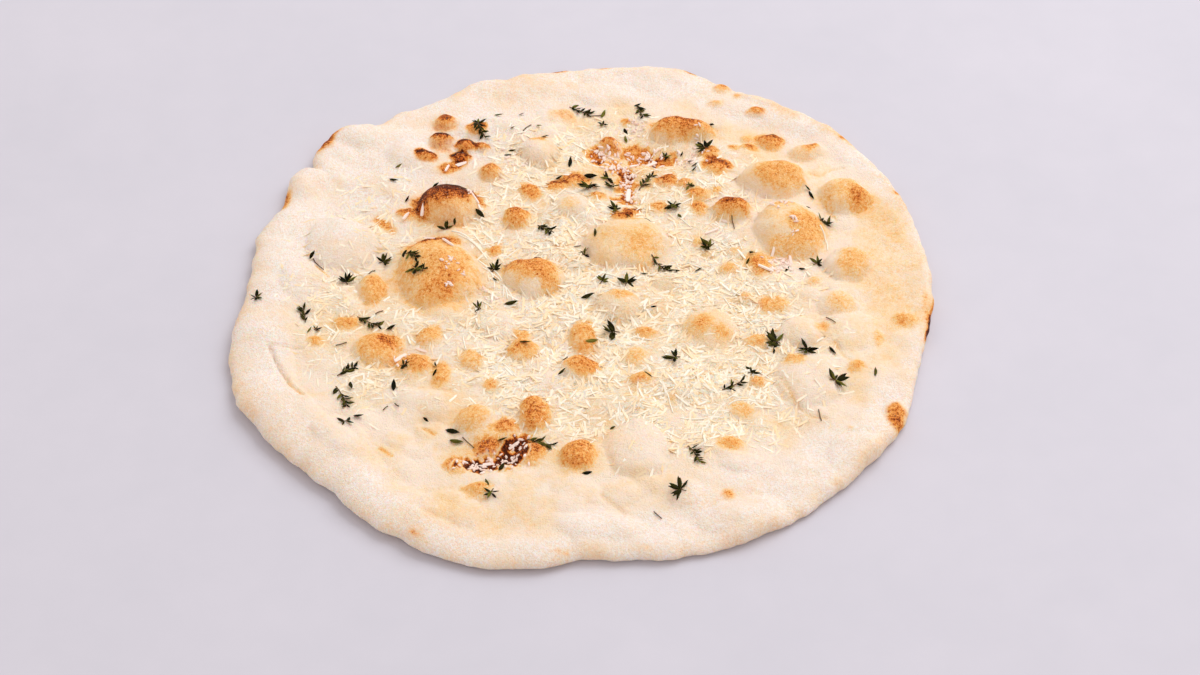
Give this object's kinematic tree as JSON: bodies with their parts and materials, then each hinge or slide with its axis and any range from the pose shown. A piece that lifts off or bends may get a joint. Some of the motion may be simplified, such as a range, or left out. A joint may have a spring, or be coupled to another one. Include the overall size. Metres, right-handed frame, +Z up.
{
  "type": "focaccia",
  "caption": "Thin round focaccia with a soft floury rim and browned blisters, strewn with fine grated cheese and thyme.",
  "frame": {"origin": "middle of the flat underside, at the bottom centre of the bounding box", "axes": "+Z up out of the top crust, +Y towards the back, +X to the right, with the broad rim on the left"},
  "size_m": [0.3204, 0.3264, 0.0191],
  "materials": {
    "crust": "baked bread crust, pale and floury, browned on its blisters",
    "cheese": "fine grated cheese, half melted",
    "herb": "dry dark green thyme leaves"
  },
  "bodies": {
    "root": {"focaccia": "crust"}
  },
  "joints": []
}
